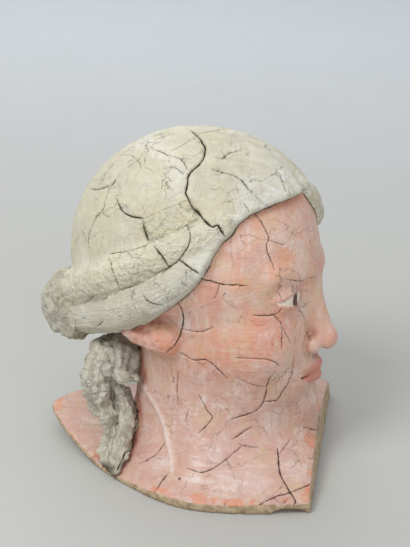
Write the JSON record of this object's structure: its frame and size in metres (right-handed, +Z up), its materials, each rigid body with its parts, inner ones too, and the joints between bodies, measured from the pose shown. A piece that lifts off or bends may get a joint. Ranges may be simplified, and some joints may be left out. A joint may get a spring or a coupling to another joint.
{
  "type": "clay bust",
  "caption": "Life-size fired clay bust of a child with rolled-back hair, a knot and a side tail, hollow, on a flat D-shaped shoulder rim.",
  "frame": {"origin": "centre of the footprint on the ground", "axes": "+Z up through the crown; the chest and face look along -Y, and the figure's right side is -X"},
  "size_m": [0.208, 0.2345, 0.2465],
  "materials": {
    "painted_clay": "satin"
  },
  "bodies": {
    "root": {"clay_bust": "painted_clay"}
  },
  "joints": []
}
